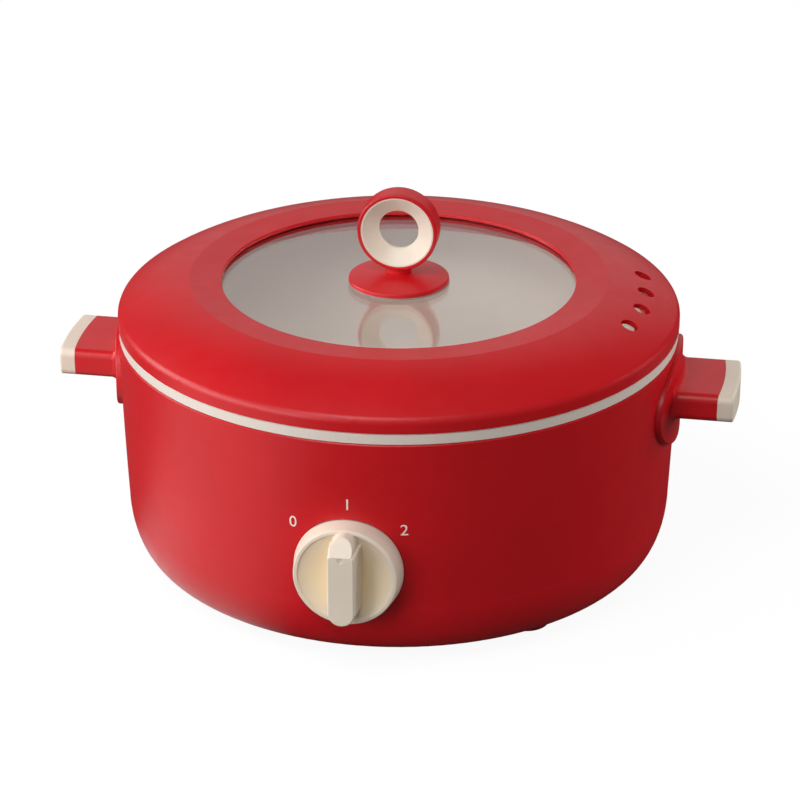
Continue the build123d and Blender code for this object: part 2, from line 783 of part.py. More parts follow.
with BuildPart() as handle_right:
    with BuildSketch(Plane.YZ.offset(outer_radius - 6)):
        grip_section()
    extrude(amount=cap_reach)
    with BuildSketch(Plane.XZ):
        Rectangle(grip_reach, 2 * shell_top, align=(Align.MIN, Align.MIN))
    revolve(axis=Axis.Z, mode=Mode.INTERSECT)
    add(handle_plate.part)
    root = handle_right.edges().filter_by(
        lambda e: abs(hypot(e.center().X, e.center().Y) - outer_radius - plate_rise) < 0.6
        and abs(e.center().Z - handle_height) < grip_thickness / 2 + 0.2
        and abs(e.center().Y) < grip_half_width + 0.2
    )
    fillet(root, root_round)
    add(shell_block.part, mode=Mode.SUBTRACT)
    # pocket for the cap's tongue and the pilot holes of the two screws
    with BuildSketch(Plane.YZ.offset(grip_reach - tongue_depth - fit_gap)):
        with Locations((0, handle_height)):
            Rectangle(2 * tongue_half_width + 0.2, tongue_thickness + 0.2)
    extrude(amount=2 * tongue_depth, mode=Mode.SUBTRACT)
    with BuildSketch(Plane.YZ.offset(outer_radius / 2)):
        with Locations((handle_screw_spread, handle_height), (-handle_screw_spread, handle_height)):
            Circle(handle_screw_radius)
    extrude(amount=outer_radius / 2 + handle_screw_length - 3, mode=Mode.SUBTRACT)
save(handle_right, "handle_right")

with BuildPart() as handle_cap_right:
    with BuildSketch(Plane.YZ.offset(outer_radius)):
        grip_section()
    extrude(amount=2 * cap_reach)
    with BuildSketch(Plane.XZ):
        Rectangle(cap_reach, 2 * shell_top, align=(Align.MIN, Align.MIN))
        Rectangle(grip_reach, 2 * shell_top, align=(Align.MIN, Align.MIN), mode=Mode.SUBTRACT)
    revolve(axis=Axis.Z, mode=Mode.INTERSECT)
    outer_face = handle_cap_right.faces().sort_by(Axis.X)[-1]
    fillet(outer_face.edges(), cap_edge_round)
    with BuildSketch(Plane.YZ.offset(grip_reach - tongue_depth)):
        with Locations((0, handle_height)):
            Rectangle(2 * tongue_half_width, tongue_thickness)
    extrude(amount=tongue_depth + 2)
save(handle_cap_right, "handle_cap_right")

with BuildPart() as handle_left:
    mirror(handle_right.part, about=Plane.YZ)
save(handle_left, "handle_left")

with BuildPart() as handle_cap_left:
    mirror(handle_cap_right.part, about=Plane.YZ)
save(handle_cap_left, "handle_cap_left")

with BuildPart() as handle_screws:
    for side in (1, -1):
        head_plane = Plane.YZ.offset(side * handle_boss_stand)
        with BuildSketch(head_plane):
            with Locations((handle_screw_spread, handle_height), (-handle_screw_spread, handle_height)):
                Circle(2 * handle_screw_radius)
        extrude(amount=-side * handle_screw_head_height)
        with BuildSketch(head_plane):
            with Locations((handle_screw_spread, handle_height), (-handle_screw_spread, handle_height)):
                Circle(handle_screw_radius - thread_gap)
        extrude(amount=side * handle_screw_length)
save(handle_screws, "handle_screws")

# ---------------------------------------------------------------- rotary switch
dial_axis = Axis((0, 0, dial_height), (0, 1, 0))
tab_places = (-switch_tab_spread, 0, switch_tab_spread)

with BuildPart() as rotary_switch:
    with BuildSketch(Plane.XZ.offset(switch_back)):
        with Locations((0, dial_height)):
            RectangleRounded(switch_width, switch_width, 1.5)
    extrude(amount=switch_depth)
    with BuildSketch(Plane.XZ.offset(switch_pad_stand)):
        with Locations((0, dial_height)):
            SlotOverall(switch_ear_width, switch_ear_height)
    extrude(amount=-switch_ear_thickness)
    with BuildSketch(Plane.XZ.offset(shaft_inner_end)):
        with Locations((0, dial_height)):
            Circle(shaft_radius + running_gap)
    extrude(amount=2 * switch_depth, mode=Mode.SUBTRACT)
    with BuildSketch(Plane.XZ.offset(switch_pad_stand)):
        with Locations((switch_screw_spread, dial_height), (-switch_screw_spread, dial_height)):
            Circle(switch_screw_radius)
    extrude(amount=-2 * switch_ear_thickness, mode=Mode.SUBTRACT)
    # three spade terminals under the block
    with BuildSketch(Plane.XY.offset(dial_height - switch_width / 2)):
        with Locations(*[(x, -switch_back - switch_depth / 2) for x in tab_places]):
            Rectangle(0.75 * tab_width, tab_thickness)
    extrude(amount=-tab_length)
save(rotary_switch, "rotary_switch")

with BuildPart() as switch_screws:
    with BuildSketch(Plane.XZ.offset(switch_screw_seat)):
        with Locations((switch_screw_spread, dial_height), (-switch_screw_spread, dial_height)):
            Circle(switch_screw_head_radius)
    extrude(amount=switch_screw_head_height)
    with BuildSketch(Plane.XZ.offset(switch_screw_seat)):
        with Locations((switch_screw_spread, dial_height), (-switch_screw_spread, dial_height)):
            Circle(switch_screw_radius - thread_gap)
    extrude(amount=-(switch_screw_seat - switch_pad_stand + switch_ear_thickness))
save(switch_screws, "switch_screws")


def d_section(radius, flat):
    """Round section with one flat, on the dial's axis."""
    with Locations((0, dial_height)):
        Circle(radius)
    with Locations((0, dial_height + flat)):
        Rectangle(4 * radius, 2 * radius, align=(Align.CENTER, Align.MIN), mode=Mode.SUBTRACT)


with BuildPart() as switch_shaft:
    with BuildSketch(Plane.XZ.offset(shaft_inner_end + 0.2)):
        with Locations((0, dial_height)):
            Circle(shaft_radius)
    extrude(amount=dial_stand - shaft_inner_end - 0.3)
    with BuildSketch(Plane.XZ.offset(dial_stand - 0.1)):
        d_section(shaft_radius, shaft_flat)
    extrude(amount=shaft_outer_end - dial_stand + 0.1)
save(switch_shaft, "switch_shaft")

# ---------------------------------------------------------------- control dial
bar_length = grip_bar_low + grip_bar_high
bar_middle = dial_height + (grip_bar_high - grip_bar_low) / 2
bar_end = dial_height - grip_bar_low + grip_bar_base_width / 2
bar_height = bar_front - dish_floor + 1
bar_shrink = bar_height * tan(radians(grip_bar_draft))
face_radius = dial_rim_radius - dial_rim_width

# grip bar: a full-width body with a round lower end, and a narrower nose above it
with BuildPart() as bar_body:
    with BuildSketch(Plane.XZ.offset(dish_floor - 1)):
        with Locations((0, bar_end)):
            Circle(grip_bar_base_width / 2)
            Rectangle(
                grip_bar_base_width,
                dial_height + nose_start + bar_shrink - bar_end,
                align=(Align.CENTER, Align.MIN),
            )
    extrude(amount=bar_height, taper=grip_bar_draft)
    fillet(bar_body.edges().filter_by(Plane.XZ, reverse=True).sort_by(Axis.Z)[-2:], shoulder_corner)
    fillet(bar_body.edges().group_by(Axis.Y)[0], grip_bar_round)

with BuildPart() as grip_bar:
    with BuildSketch(Plane.XZ.offset(dish_floor - 1)):
        with Locations((0, bar_middle)):
            SlotOverall(bar_length, grip_bar_base_width - 2 * nose_shoulder, rotation=90)
    extrude(amount=bar_height, taper=grip_bar_draft)
    fillet(grip_bar.edges().group_by(Axis.Y)[0], grip_bar_round)
    add(bar_body.part)
    # the nose slopes down to the rim
    with BuildSketch(Plane.YZ.offset(-dial_base_radius)):
        with BuildLine():
            Polyline(
                (-bar_front - 3, dial_height + nose_start),
                (-bar_front - 0.1, dial_height + nose_start),
                (-rim_front - nose_rise, dial_height + grip_bar_high + 2),
                (-bar_front - 3, dial_height + grip_bar_high + 2),
                close=True,
            )
        make_face()
    extrude(amount=2 * dial_base_radius, mode=Mode.SUBTRACT)
    with BuildSketch(Plane.XZ.offset(bar_front - dimple_depth)):
        with Locations((0, dial_height + nose_start - dimple_place)):
            Circle(dimple_radius)
    extrude(amount=2 * dimple_depth, mode=Mode.SUBTRACT)

with BuildPart() as control_dial:
    # skirt, rim and dished face, as (radius, -distance from the pot's axis)
    with BuildSketch(Plane.XY.offset(dial_height)):
        with BuildLine():
            Polyline(
                (0, -dish_floor),
                (0, -dial_stand),
                (dial_base_radius, -dial_stand),
                (dial_rim_radius, -rim_front),
                (face_radius, -rim_front),
                (face_radius, -rim_front + dial_rim_step),
            )
            ThreePointArc(
                (face_radius, -rim_front + dial_rim_step),
                (dial_rim_radius / 2, -dish_floor - dial_dish_crown),
                (0, -dish_floor),
            )
        make_face()
    revolve(axis=dial_axis)
    rim_edges = control_dial.edges().filter_by(GeomType.CIRCLE).group_by(Axis.Y)[0]
    fillet(rim_edges.sort_by(SortBy.RADIUS)[-1], dial_rim_round)
    add(grip_bar.part)
    # hollow back, with the hub left standing round the shaft
    with BuildSketch(Plane.XZ.offset(dial_stand)):
        with Locations((0, dial_height)):
            Circle(dial_rim_radius - dial_wall)
            Circle(shaft_radius + hub_wall, mode=Mode.SUBTRACT)
    extrude(amount=dish_floor - dial_stand - dial_wall, mode=Mode.SUBTRACT)
    with BuildSketch(Plane.XZ.offset(dial_stand)):
        d_section(shaft_radius + running_gap, shaft_flat + running_gap)
    extrude(amount=shaft_outer_end + fit_gap - dial_stand, mode=Mode.SUBTRACT)
save(control_dial, "control_dial")

# ---------------------------------------------------------------- power inlet
with BuildPart() as inlet_housing:
    with BuildSketch(Plane.XZ.offset(-inlet_recess_stand)):
        with Locations((0, inlet_height)):
            RectangleRounded(inlet_flange_width, inlet_flange_height, inlet_flange_corner)
    extrude(amount=-inlet_flange_thickness)
    fillet(inlet_housing.edges().group_by(Axis.Y)[-1], inlet_flange_round)
    with BuildSketch(Plane.XZ.offset(-inlet_back)):
        with Locations((0, inlet_height)):
            RectangleRounded(inlet_body_width, inlet_body_height, 1.2)
    extrude(amount=-(inlet_recess_stand - inlet_back))
    with BuildSketch(Plane.XZ.offset(-socket_floor)):
        with Locations((0, inlet_height)):
            Rectangle(socket_width, socket_height)
    extrude(amount=-2 * socket_depth, mode=Mode.SUBTRACT)
    # keyed corners of the socket
    with BuildSketch(Plane.XZ.offset(-socket_floor)):
        for key_side in (1, -1):
            with Locations((key_side * socket_width / 2, inlet_height - socket_height / 2)):
                Rectangle(socket_key, socket_key, rotation=45)
        with Locations((0, inlet_height)):
            Rectangle(socket_width + 1, socket_height + 1, mode=Mode.INTERSECT)
    extrude(amount=-socket_depth)
    pin_places = [
        (-pin_spread, inlet_height + pin_stagger),
        (pin_spread, inlet_height + pin_stagger),
        (0, inlet_height - pin_stagger),
    ]
    with BuildSketch(Plane.XZ.offset(-inlet_back + 1)):
        with Locations(*pin_places):
            Rectangle(pin_width, pin_height)
    extrude(amount=-2 * inlet_body_depth, mode=Mode.SUBTRACT)
    with BuildSketch(Plane.XZ.offset(-inlet_back)):
        with Locations((inlet_screw_spread, inlet_height), (-inlet_screw_spread, inlet_height)):
            Circle(inlet_screw_radius + 0.1)
    extrude(amount=-2 * inlet_body_depth, mode=Mode.SUBTRACT)
save(inlet_housing, "inlet_housing")

with BuildPart() as inlet_pins:
    with BuildSketch(Plane.XZ.offset(-inlet_back + pin_tail)):
        with Locations(*pin_places):
            Rectangle(pin_width, pin_height)
    extrude(amount=-(socket_floor + pin_length - inlet_back + pin_tail))
    chamfer(inlet_pins.edges().group_by(Axis.Y)[-1], 0.4)
save(inlet_pins, "inlet_pins")

with BuildPart() as inlet_screws:
    with BuildSketch(Plane.XZ.offset(-inlet_face)):
        with Locations((inlet_screw_spread, inlet_height), (-inlet_screw_spread, inlet_height)):
            Circle(inlet_screw_head_radius)
    extrude(amount=-inlet_screw_head_height)
    chamfer(inlet_screws.edges().group_by(Axis.Y)[-1], 0.6)
    with BuildSketch(Plane.XZ.offset(-inlet_face)):
        with Locations((inlet_screw_spread, inlet_height), (-inlet_screw_spread, inlet_height)):
            Circle(inlet_screw_radius)
    extrude(amount=inlet_face - inlet_pad_stand)
save(inlet_screws, "inlet_screws")

# ---------------------------------------------------------------- lid frame
inner_skirt_radius = outer_radius - lid_wall
rib_rings = (
    # outer radius, lower end, width
    (seat_rib_radius, rim_top, rib_width),
    (locating_rib_radius, rim_top - locating_rib_drop, rib_width),
    (pocket_radius + rib_width, retainer_top, rib_width),
)

with BuildPart() as lid_frame:
    # outside
    with BuildSketch(Plane.XZ):
        with BuildLine():
            Polyline(
                (outer_radius, shoulder_top),
                (outer_radius, lid_bottom),
                (opening_radius, lid_bottom),
                (opening_radius, opening_top),
                (crease_radius, crease_top),
            )
            RadiusArc((crease_radius, crease_top), (outer_radius, shoulder_top), dome_round)
        make_face()
    revolve(axis=Axis.Z)
    rings = lid_frame.edges().filter_by(GeomType.CIRCLE)
    fillet(
        rings.filter_by_position(Axis.Z, shoulder_top - 0.1, shoulder_top + 0.1).sort_by(SortBy.RADIUS)[-1],
        shoulder_round,
    )
    fillet(rings.filter_by_position(Axis.Z, opening_top - 0.1, opening_top + 0.1)[0], 0.5)
    # hollow underside
    with BuildSketch(Plane.XZ):
        with BuildLine():
            Polyline(
                (inner_skirt_radius, dome_z(inner_skirt_radius, lid_wall)),
                (inner_skirt_radius, lid_bottom - 1),
                (opening_radius - 1, lid_bottom - 1),
                (opening_radius - 1, opening_top - border_lip),
                (crease_radius, opening_top - border_lip),
                (crease_radius, dome_z(crease_radius, lid_wall)),
            )
            RadiusArc(
                (crease_radius, dome_z(crease_radius, lid_wall)),
                (inner_skirt_radius, dome_z(inner_skirt_radius, lid_wall)),
                dome_round - lid_wall,
            )
        make_face()
    revolve(axis=Axis.Z, mode=Mode.SUBTRACT)
    # rib that rests on the pot's rim, rib that drops into its mouth, wall of the glass pocket
    for rib_outer, rib_low, width in rib_rings:
        rib_high = dome_z(max(rib_outer, crease_radius), lid_wall / 2)
        with BuildSketch(Plane.XY.offset(rib_low)):
            Circle(rib_outer)
            Circle(rib_outer - width, mode=Mode.SUBTRACT)
        extrude(amount=rib_high - rib_low)
    # screw bosses of the glass retainer
    with BuildSketch(Plane.XY.offset(retainer_top)):
        with PolarLocations(retainer_screw_circle, retainer_screw_count, start_angle=30):
            Circle(retainer_boss_radius)
    extrude(amount=dome_z(retainer_screw_circle, lid_wall / 2) - retainer_top)
    with BuildSketch(Plane.XY.offset(retainer_top)):
        with PolarLocations(retainer_screw_circle, retainer_screw_count, start_angle=30):
            Circle(retainer_screw_radius)
    extrude(amount=5, mode=Mode.SUBTRACT)
    # steam vents, square to the dome
    for number in range(steam_hole_count):
        angle = radians((number - (steam_hole_count - 1) / 2) * steam_hole_step)
        lean = (steam_hole_circle - dome_centre_r) / dome_round
        vent_plane = Plane(
            origin=(
                steam_hole_circle * cos(angle),
                steam_hole_circle * sin(angle),
                dome_z(steam_hole_circle),
            ),
            z_dir=(lean * cos(angle), lean * sin(angle), sqrt(1 - lean**2)),
        )
        with BuildSketch(vent_plane.offset(5)):
            Circle(steam_hole_radius)
        extrude(amount=-30, mode=Mode.SUBTRACT)
save(lid_frame, "lid_frame")

# ---------------------------------------------------------------- glass, gasket, retainer
with BuildPart() as lid_glass:
    with BuildSketch(Plane.XY.offset(glass_bottom)):
        Circle(glass_radius)
        Circle(knob_boss_hole_radius, mode=Mode.SUBTRACT)
    extrude(amount=glass_thickness)
    chamfer(lid_glass.edges().filter_by(GeomType.CIRCLE).sort_by(SortBy.RADIUS)[-2:], glass_chamfer)
save(lid_glass, "lid_glass")

with BuildPart() as glass_gasket:
    with BuildSketch(Plane.XZ):
        with Locations((glass_radius + gasket_web, retainer_top)):
            Rectangle(
                gasket_web + gasket_grip,
                glass_thickness + 2 * gasket_leg,
                align=(Align.MAX, Align.MIN),
            )
        with Locations((glass_radius, glass_bottom)):
            Rectangle(2 * gasket_grip, glass_thickness, align=(Align.MAX, Align.MIN), mode=Mode.SUBTRACT)
    revolve(axis=Axis.Z)
save(glass_gasket, "glass_gasket")

with BuildPart() as glass_retainer:
    with BuildSketch(Plane.XY.offset(retainer_bottom)):
        Circle(retainer_outer_radius)
        Circle(retainer_inner_radius, mode=Mode.SUBTRACT)
        with PolarLocations(retainer_screw_circle, retainer_screw_count, start_angle=30):
            Circle(retainer_screw_radius + 0.2, mode=Mode.SUBTRACT)
    extrude(amount=retainer_thickness)
    retainer_rings = glass_retainer.edges().filter_by(GeomType.CIRCLE).group_by(Axis.Z)[0]
    chamfer(retainer_rings.sort_by(SortBy.RADIUS)[-2:], retainer_chamfer)
save(glass_retainer, "glass_retainer")

with BuildPart() as retainer_screws:
    with BuildSketch(Plane.XY.offset(retainer_bottom)):
        with PolarLocations(retainer_screw_circle, retainer_screw_count, start_angle=30):
            Circle(retainer_screw_head_radius)
    extrude(amount=-retainer_screw_head_height)
    chamfer(retainer_screws.edges().group_by(Axis.Z)[0], 0.6)
    with BuildSketch(Plane.XY.offset(retainer_bottom)):
        with PolarLocations(retainer_screw_circle, retainer_screw_count, start_angle=30):
            Circle(retainer_screw_radius - thread_gap)
    extrude(amount=retainer_thickness + retainer_screw_depth)
save(retainer_screws, "retainer_screws")

# ---------------------------------------------------------------- lid knob
ring_axis = Axis((0, 0, ring_centre), (0, 1, 0))

with BuildPart() as lid_knob:
    # crowned disc
    with BuildSketch(Plane.XZ):
        with BuildLine():
            Polyline(
                (0, disc_bottom + knob_disc_crown),
                (0, disc_bottom),
                (knob_disc_radius, disc_bottom),
                (knob_disc_radius, disc_bottom + knob_disc_edge),
            )
            ThreePointArc(
                (knob_disc_radius, disc_bottom + knob_disc_edge),
                (knob_disc_radius / 2, disc_bottom + knob_disc_crown - 0.6),
                (0, disc_bottom + knob_disc_crown),
            )
        make_face()
    revolve(axis=Axis.Z)
    disc_edge_top = disc_bottom + knob_disc_edge
    fillet(
        lid_knob.edges().filter_by_position(Axis.Z, disc_edge_top - 0.01, disc_edge_top + 0.01),
        knob_disc_round,
    )
    # ring
    with BuildSketch(Plane.XZ.offset(-knob_ring_half_depth)):
        with Locations((0, ring_centre)):
            Circle(knob_ring_radius)
    extrude(amount=2 * knob_ring_half_depth)
    ring_edges = lid_knob.edges().filter_by(
        lambda e: e.geom_type == GeomType.CIRCLE and abs(e.center().Z - ring_centre) < 0.1
    )
    fillet(ring_edges, knob_ring_round)
    # neck between the disc and the ring
    with BuildSketch(Plane.XY.offset(disc_bottom + 1)):
        Ellipse(knob_neck_width, knob_neck_depth)
    extrude(amount=neck_top - disc_bottom - 1)
    # bore of the ring, with the web that the two funnels meet on
    with BuildSketch(Plane.XZ.offset(-2 * knob_ring_half_depth)):
        with Locations((0, ring_centre)):
            Circle(ring_bore - web_height)
    extrude(amount=4 * knob_ring_half_depth, mode=Mode.SUBTRACT)
    for side in (1, -1):
        with BuildSketch(Plane.XZ.offset(side * locating_web)):
            with Locations((0, ring_centre)):
                Circle(ring_bore)
        extrude(amount=side * 2 * knob_ring_half_depth, mode=Mode.SUBTRACT)
    with BuildSketch(Plane.XY.offset(disc_bottom)):
        Circle(knob_screw_radius)
    extrude(amount=neck_top - disc_bottom - 1.5, mode=Mode.SUBTRACT)
save(lid_knob, "lid_knob")


def funnel_half(direction):
    """One half of the funnel; `direction` is -1 for the front half and +1 for the rear half."""
    outer = ring_bore - 0.05
    inner = ring_bore - web_height - 0.05
    mouth = direction * (knob_ring_half_depth - funnel_sink)
    with BuildPart() as half:
        with BuildSketch(Plane.XY.offset(ring_centre)):
            with BuildLine():
                Polyline(
                    (outer, direction * (locating_web + 0.05)),
                    (outer, mouth),
                    (funnel_mouth_radius, mouth),
                    (funnel_throat_radius, direction * 0.9),
                    (funnel_throat_radius, 0),
                    (inner, 0),
                    (inner, direction * (locating_web + 0.05)),
                    close=True,
                )
            make_face()
        revolve(axis=ring_axis)
    return half


funnel_front = funnel_half(-1)
save(funnel_front, "funnel_front")
funnel_rear = funnel_half(1)
save(funnel_rear, "funnel_rear")

with BuildPart() as knob_gasket:
    with BuildSketch(Plane.XY.offset(glass_top)):
        Circle(knob_disc_radius + 0.2)
        Circle(knob_screw_radius + 0.3, mode=Mode.SUBTRACT)
    extrude(amount=knob_gasket_thickness)
save(knob_gasket, "knob_gasket")

with BuildPart() as under_gasket:
    with BuildSketch(Plane.XY.offset(glass_bottom)):
        Circle(washer_radius + 2)
        Circle(knob_screw_radius + 0.3, mode=Mode.SUBTRACT)
    extrude(amount=-knob_gasket_thickness)
save(under_gasket, "under_gasket")

with BuildPart() as knob_washer:
    with BuildSketch(Plane.XY.offset(glass_bottom - knob_gasket_thickness)):
        Circle(washer_radius)
        Circle(knob_screw_radius + 0.3, mode=Mode.SUBTRACT)
    extrude(amount=-washer_thickness)
save(knob_washer, "knob_washer")

with BuildPart() as knob_screw:
    with BuildSketch(Plane.XY.offset(knob_screw_face)):
        Circle(2 * knob_screw_radius)
    extrude(amount=-knob_screw_head_height)
    chamfer(knob_screw.edges().group_by(Axis.Z)[0], 0.8)
    with BuildSketch(Plane.XY.offset(knob_screw_face - knob_screw_head_height)):
        Rectangle(5.2, 1.1)
        Rectangle(1.1, 5.2)
    extrude(amount=screw_slot_depth, mode=Mode.SUBTRACT)
    with BuildSketch(Plane.XY.offset(knob_screw_face)):
        Circle(knob_screw_radius - thread_gap)
    extrude(amount=neck_top - 2.5 - knob_screw_face)
save(knob_screw, "knob_screw")
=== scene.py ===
"""Electric hot pot with a lift-off glass lid: finishes, printed scale, and a plain studio."""

import json
from math import cos, radians, sin

import bpy
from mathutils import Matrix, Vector


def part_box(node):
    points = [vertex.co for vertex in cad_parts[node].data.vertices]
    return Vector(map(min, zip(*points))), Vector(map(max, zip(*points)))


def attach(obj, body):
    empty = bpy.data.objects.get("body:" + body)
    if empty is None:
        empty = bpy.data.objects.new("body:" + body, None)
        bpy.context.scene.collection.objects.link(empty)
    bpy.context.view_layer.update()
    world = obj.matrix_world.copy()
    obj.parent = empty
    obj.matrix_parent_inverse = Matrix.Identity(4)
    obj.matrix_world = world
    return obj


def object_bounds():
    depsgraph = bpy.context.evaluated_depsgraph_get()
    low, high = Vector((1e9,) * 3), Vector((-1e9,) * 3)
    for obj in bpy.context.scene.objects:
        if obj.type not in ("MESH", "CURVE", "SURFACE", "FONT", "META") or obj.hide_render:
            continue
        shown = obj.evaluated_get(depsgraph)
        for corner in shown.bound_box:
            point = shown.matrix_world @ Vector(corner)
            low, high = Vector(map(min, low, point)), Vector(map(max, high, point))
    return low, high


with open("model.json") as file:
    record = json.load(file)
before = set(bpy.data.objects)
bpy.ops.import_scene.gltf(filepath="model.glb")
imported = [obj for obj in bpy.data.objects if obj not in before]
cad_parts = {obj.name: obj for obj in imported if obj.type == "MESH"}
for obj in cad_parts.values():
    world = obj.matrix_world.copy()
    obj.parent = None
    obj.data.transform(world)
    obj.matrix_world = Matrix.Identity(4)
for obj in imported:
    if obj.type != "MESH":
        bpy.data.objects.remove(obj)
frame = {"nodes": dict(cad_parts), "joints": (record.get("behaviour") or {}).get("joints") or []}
cad_low, cad_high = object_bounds()

bl_info = {
    "name": "Hot Pot Finishes",
    "version": (1, 0, 0),
    "blender": (4, 5, 0),
    "location": "View3D > Sidebar > Hot Pot",
    "description": "Finishes, printed dial scale and studio for a round electric hot pot",
    "category": "Object",
}

MM = 0.001

# Places read from the frame.
pane_low, pane_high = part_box("lid_glass")
AXIS_Y = (pane_low.y + pane_high.y) / 2
DIAL_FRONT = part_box("control_dial")[0].y
DIAL_HEIGHT = next(j["pos_m"][2] for j in frame["joints"] if j["name"] == "dial_turn")

# Where the painted warm bounce light lies in the dial's dish, measured from the rim, which lies behind the
# front of the bar.
DIAL_RIM_DROP = 11.0 * MM
DIAL_FACE_RADIUS = 22.9 * MM
PAINTED_BOUNCE_START = -0.2 * MM
PAINTED_BOUNCE_FULL = 3.4 * MM
DISH_EDGE_FADE = 0.1 * MM

# Shading of the CAD nodes.
MERGE_DISTANCE = 0.002 * MM
CRISP_ANGLE = 28              # degrees between two faces, past which their edge stays sharp
EVEN_SHADING_WEIGHT = 60
CREASE_RADIUS = 104 * MM      # where the lid's dome meets its flat border
CREASE_TOLERANCE = 0.12 * MM

# Finishes: the span that noise mostly fills, and how far tone and roughness drift.
NOISE_LOW, NOISE_HIGH = 0.35, 0.65
PLASTIC_TONE_DRIFT = 0.035
PLASTIC_ROUGHNESS_DRIFT = 0.025
METAL_ROUGHNESS_DRIFT = 0.07
PANE_LIGHT = 0.965            # share of the light that the pane lets through to the pot

# The studio: angles in degrees, distances and sizes in metres. Azimuth 0 is in front of the pot.
BANK = ((-35, 14, 0.28), (-65, 16, 0.33), (-95, 20, 0.39))    # azimuth, elevation, share of power
BANK_DISTANCE = 2.2
BANK_LAMP_SIZE = (0.9, 1.1)
FRONT_LAMP_PLACE = (-12, 52, 1.9)                             # azimuth, elevation, distance
FRONT_LAMP_SIZE = (1.0, 0.7)
RIM_LAMP_PLACE = (115, 8, 1.9)
RIM_LAMP_SIZE = (0.9, 0.9)
FLOOR_SIDE = 12
FLOOR_TONE = 0.1              # dark under the lamps, so that the floor throws little light back
FLOOR_GLOW = 0.93             # what the camera sees of the floor away from the shadow
FLOOR_ROUGHNESS = 0.9
SENSOR_WIDTH = 36             # millimetres
NEAREST, FARTHEST = 0.05, 30

# What only gloss sees lit: azimuth, elevation, and the half-angles where the light ends and is full.
LIT_FLOOR = (-52, 0, 38, 10)
BACK_WALL = (186, 22, 40, 8)


def srgb(red, green, blue):
    """Linear colour for a shader from an 8-bit display colour."""
    def linear(value):
        share = value / 255
        return share / 12.92 if share <= 0.04045 else ((share + 0.055) / 1.055) ** 2.4

    return linear(red), linear(green), linear(blue)


def shade(colour, factor):
    """A lighter or darker version of a colour."""
    return tuple(min(1.0, part * factor) for part in colour)


# ---------------------------------------------------------------- settings
def colour_setting(name, description, rgb):
    """A colour that the sidebar offers."""
    return bpy.props.FloatVectorProperty(
        name=name, description=description, subtype="COLOR", size=3, min=0, max=1, default=rgb
    )


class HotPotColours(bpy.types.PropertyGroup):
    body: colour_setting("Body", "Satin plastic of shell, lid frame, handles and knob", srgb(207, 13, 24))
    trim: colour_setting("Trim", "Plastic of the dial, grip caps and knob funnel", srgb(241, 227, 209))
    # Painted light: a warmer tone laid down in the dial's dish, standing in for the warm light bounced in
    # its shaded hollow.
    dish: colour_setting("Dish", "Warmer tone down in the dial's dish", srgb(255, 230, 188))
    coating: colour_setting("Pot coating", "Non-stick coating of the inner pot", srgb(236, 224, 212))
    glass: colour_setting("Glass", "Tint of the lid's pane", srgb(251, 252, 251))
    print_ink: colour_setting("Print", "Ink of the dial scale", srgb(252, 240, 226))
    rubber: colour_setting("Gasket", "Silicone gaskets of the lid", srgb(158, 144, 140))


class HotPotSizes(bpy.types.PropertyGroup):
    numeral_height: bpy.props.FloatProperty(
        name="Numeral height", description="Height of the printed numbers", default=5.6 * MM,
        min=3 * MM, max=9 * MM, unit="LENGTH",
    )
    numeral_circle: bpy.props.FloatProperty(
        name="Numeral circle", description="Distance of the numbers from the dial's axis",
        default=34.5 * MM, min=30 * MM, max=45 * MM, unit="LENGTH",
    )
    numeral_step: bpy.props.FloatProperty(
        name="Numeral step", description="Angle between neighbouring settings",
        default=radians(50), min=radians(20), max=radians(90), subtype="ANGLE",
    )
    ink_thickness: bpy.props.FloatProperty(
        name="Ink thickness", description="How far the print stands off the shell",
        default=0.06 * MM, min=0.01 * MM, max=0.3 * MM, unit="LENGTH",
    )


class HotPotStudio(bpy.types.PropertyGroup):
    lens: bpy.props.FloatProperty(
        name="Lens", description="Focal length in millimetres", default=133.14, min=20, max=300
    )
    distance: bpy.props.FloatProperty(
        name="Distance", description="Camera to the aim point", default=1.5004, min=0.3, max=5,
        unit="LENGTH",
    )
    azimuth: bpy.props.FloatProperty(
        name="Azimuth", description="Camera angle round the pot, 0 in front", default=radians(9.892),
        subtype="ANGLE",
    )
    elevation: bpy.props.FloatProperty(
        name="Elevation", description="Camera angle above the table", default=radians(24.966),
        subtype="ANGLE",
    )
    aim_height: bpy.props.FloatProperty(
        name="Aim height", description="Height of the aim point on the pot's axis",
        default=79.11 * MM, unit="LENGTH",
    )
    shift: bpy.props.FloatProperty(
        name="Shift", description="Sideways shift of the lens", default=0.00144
    )
    bank_power: bpy.props.FloatProperty(
        name="Bank", description="Power of the curved bank of lamps on the left", default=41.8,
        unit="POWER",
    )
    front_power: bpy.props.FloatProperty(
        name="Front lamp", description="Power of the high lamp in front", default=11.2, unit="POWER"
    )
    rim_power: bpy.props.FloatProperty(
        name="Rim lamp", description="Power of the lamp behind on the right", default=20.5,
        unit="POWER",
    )
    ambient: bpy.props.FloatProperty(
        name="Ambient", description="Strength of the even light from the room", default=0.3, min=0, max=2
    )
    back_wall: bpy.props.FloatProperty(
        name="Back wall", description="Brightness of the room behind the pot, as the gloss reflects it",
        default=0.6, min=0, max=5,
    )
    bounce: bpy.props.FloatProperty(
        name="Bounce", description="Brightness of the table on the left, as the gloss reflects it",
        default=0.95, min=0, max=2,
    )


# ---------------------------------------------------------------- nodes
def feed(tree, node, values):
    """Fill a node's inputs in order: a socket is linked, anything else is set as a plain value."""
    for socket, value in zip(node.inputs, values):
        if isinstance(value, bpy.types.NodeSocket):
            tree.links.new(value, socket)
        else:
            socket.default_value = value


def node_math(tree, operation, *values):
    """A math node of plain values and sockets."""
    node = tree.nodes.new("ShaderNodeMath")
    node.operation = operation
    feed(tree, node, values)
    return node.outputs[0]


